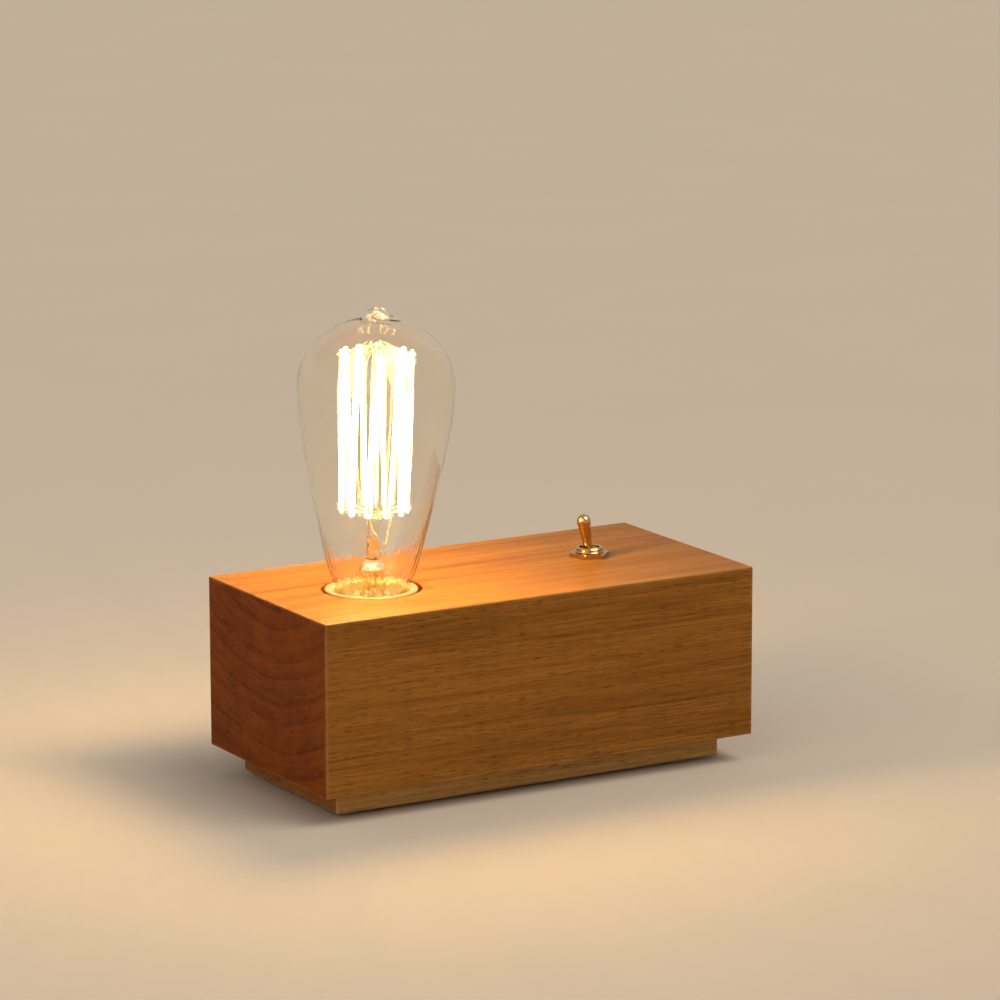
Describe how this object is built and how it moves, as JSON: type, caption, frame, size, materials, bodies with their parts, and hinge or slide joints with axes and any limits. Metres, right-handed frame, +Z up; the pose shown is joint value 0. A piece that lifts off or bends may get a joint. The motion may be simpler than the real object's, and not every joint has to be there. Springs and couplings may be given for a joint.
{
  "type": "bare bulb table lamp",
  "caption": "Timber block table lamp with a bare squirrel-cage filament bulb in a sunken porcelain lampholder and a toggle switch.",
  "frame": {"origin": "centre of the resting face, under the feet", "axes": "+Z up, +X along the block from the bulb to the switch, -Y is the front"},
  "size_m": [0.2, 0.1, 0.1971],
  "materials": {
    "block_timber": "oiled, open pores",
    "plate_timber": "oiled, paler timber",
    "pad_rubber": "dark, matte",
    "screw_steel": "zinc plated",
    "porcelain": "cream glaze",
    "contact_brass": "rolled",
    "clear_glass": "clear, blown",
    "stem_glass": "clear, worked",
    "filament": "glowing",
    "anchor_wire": "drawn wire",
    "cap_nickel": "nickel plated sheet",
    "black_glass": "black glass",
    "solder": "dull solder",
    "switch_nickel": "nickel plated",
    "phenolic": "moulded",
    "pin_steel": "drawn",
    "nylon": "moulded",
    "copper": "stamped strip",
    "brown_insulation": "sleeved",
    "blue_insulation": "sleeved",
    "bush_plastic": "moulded"
  },
  "bodies": {
    "lamp_base": {"wood_block": "block_timber", "base_plate": "plate_timber", "feet": "pad_rubber", "plate_screws": "screw_steel", "socket_body": "porcelain", "socket_screws": "screw_steel", "socket_shell": "contact_brass", "socket_ring": "contact_brass", "socket_contact": "contact_brass", "socket_terminals": "contact_brass", "socket_clamp_screws": "screw_steel", "switch_frame": "switch_nickel", "switch_housing": "phenolic", "switch_nut": "switch_nickel", "switch_washer": "switch_nickel", "switch_lower_nut": "switch_nickel", "switch_pin": "pin_steel", "switch_contacts": "contact_brass", "switch_clamp_screws": "screw_steel", "terminal_strip": "nylon", "strip_inserts": "contact_brass", "strip_clamp_screws": "screw_steel", "strip_fixing": "screw_steel", "wire_live": "brown_insulation", "wire_switched": "brown_insulation", "wire_neutral": "blue_insulation", "inlet_bush": "bush_plastic"},
    "bulb_tip": {"bulb_contact": "solder"},
    "bulb": {"bulb_glass": "clear_glass", "bulb_stem": "stem_glass", "bulb_filament": "filament", "bulb_supports": "anchor_wire", "bulb_leads": "anchor_wire", "bulb_cap": "cap_nickel", "bulb_insulator": "black_glass"},
    "lever": {"switch_lever": "switch_nickel", "switch_plunger": "nylon", "switch_spring": "pin_steel"},
    "rocker": {"switch_rocker": "copper"}
  },
  "joints": [
    {"name": "bulb_lift", "type": "slide", "parent": "lamp_base", "child": "bulb_tip", "axis": [0, 0, 1], "range_m": [0, 0.01452]},
    {"name": "bulb_turn", "type": "hinge", "parent": "bulb_tip", "child": "bulb", "pos_m": [-0.053, -0.0025, 0.08], "axis": [0, 0, 1], "range_deg": [0, 1440]},
    {"name": "lever_swing", "type": "hinge", "parent": "lamp_base", "child": "lever", "pos_m": [0.0525, 0.0015, 0.0829], "axis": [0, 1, 0], "range_deg": [0, 21]},
    {"name": "rocker_tip", "type": "hinge", "parent": "lamp_base", "child": "rocker", "pos_m": [0.0525, 0.0015, 0.06299], "axis": [0, 1, 0], "range_deg": [-16, 0]}
  ],
  "couplings": [
    {"joint": "bulb_lift", "follows": "bulb_turn", "m_per_rad": 0.00057757},
    {"joint": "rocker_tip", "follows": "lever_swing", "ratio": -0.7619}
  ]
}
